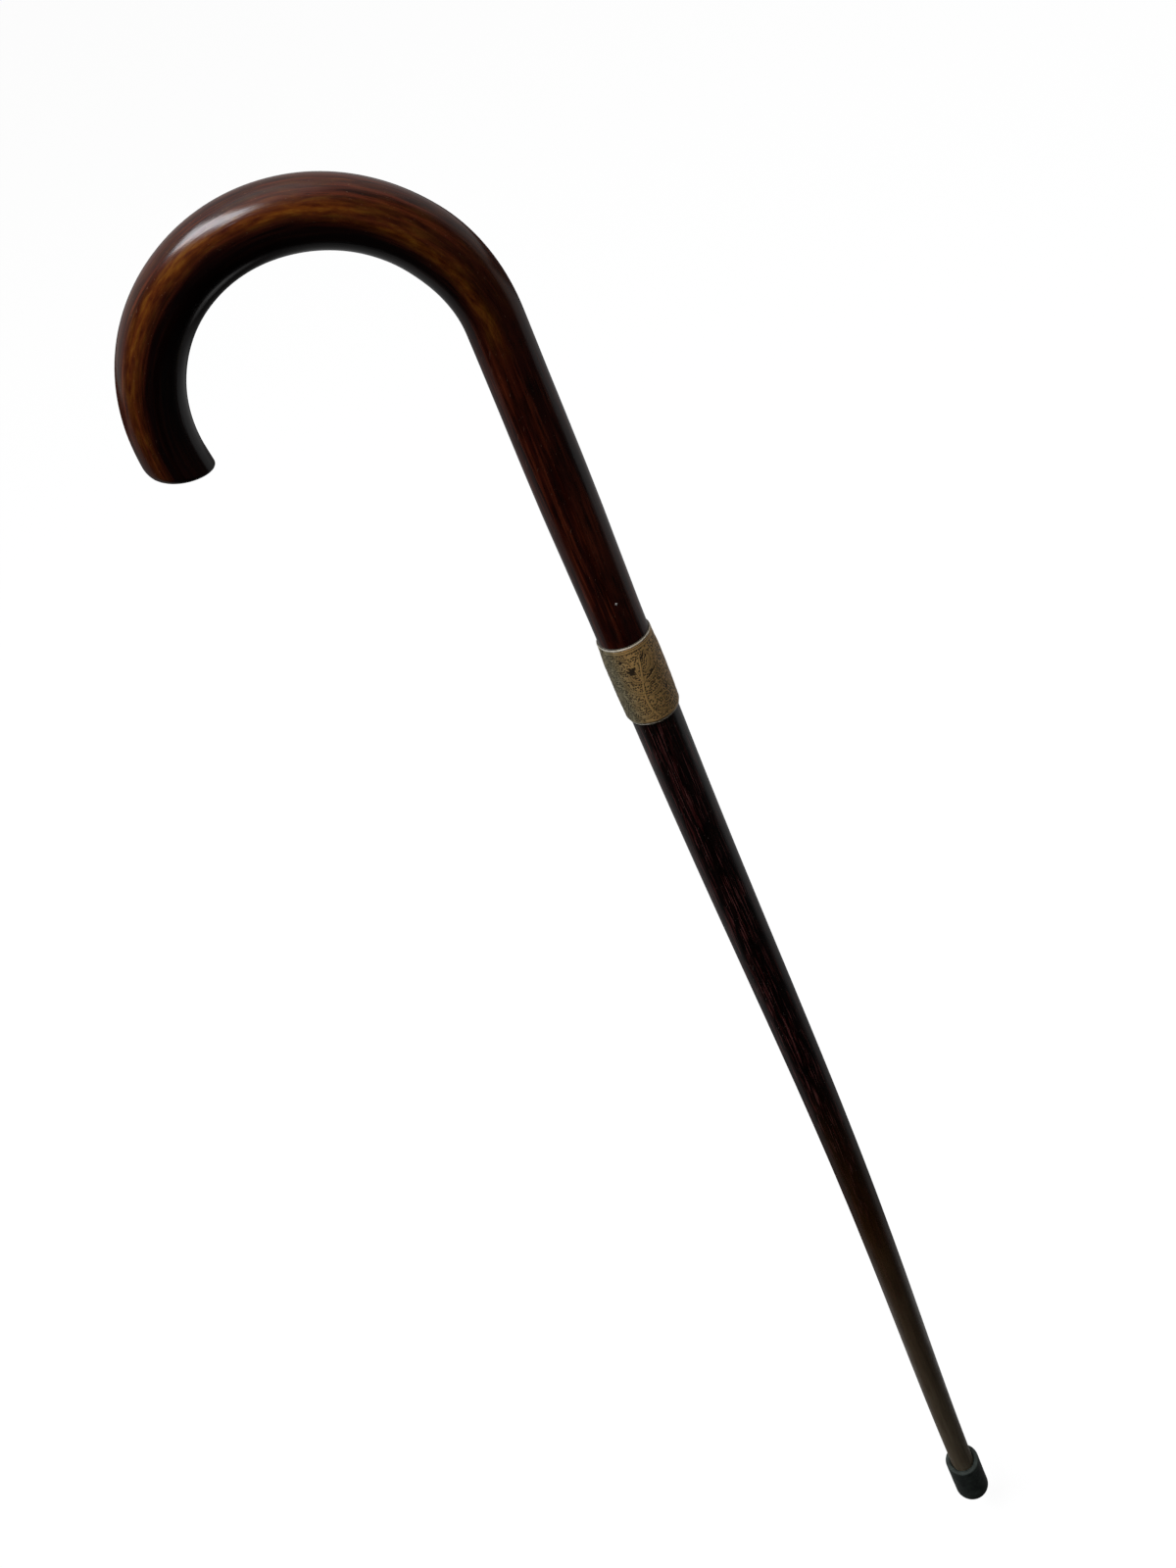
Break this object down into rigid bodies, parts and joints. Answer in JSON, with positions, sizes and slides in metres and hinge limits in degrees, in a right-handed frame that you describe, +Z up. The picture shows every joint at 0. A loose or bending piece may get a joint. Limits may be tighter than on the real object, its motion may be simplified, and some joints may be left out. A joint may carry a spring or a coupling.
{
  "type": "walking cane",
  "caption": "Walking cane: polished wooden crook handle, engraved metal collar, dark tapered stick and a push-on rubber ferrule that pulls off.",
  "frame": {"origin": "centre of the ferrule's sole, where the cane meets the ground", "axes": "+Z up the stick, crook in the XZ plane and bent towards -X"},
  "size_m": [0.1386, 0.0234, 0.8896],
  "materials": {
    "handle_wood": "red-brown hardwood, French polished to a high gloss and mottled almost black with age",
    "stick_wood": "near-black hardwood with red streaks, satin at the collar and dull grey-brown at the tip",
    "collar_metal": "engraved nickel silver with warm brown tarnish",
    "steel": "plain turned steel",
    "rubber": "worn black rubber with a green-grey bloom"
  },
  "bodies": {
    "cane": {"crook_handle": "handle_wood", "stick": "stick_wood", "collar_band": "collar_metal", "collar_rim": "collar_metal", "collar_bead": "collar_metal", "joint_stud": "steel", "locking_pin": "steel"},
    "ferrule": {"rubber_ferrule": "rubber", "ferrule_washer": "steel"}
  },
  "joints": [
    {"name": "ferrule_pull_off", "type": "slide", "parent": "cane", "child": "ferrule", "axis": [0, 0, -1], "range_m": [0, 0.03]}
  ]
}
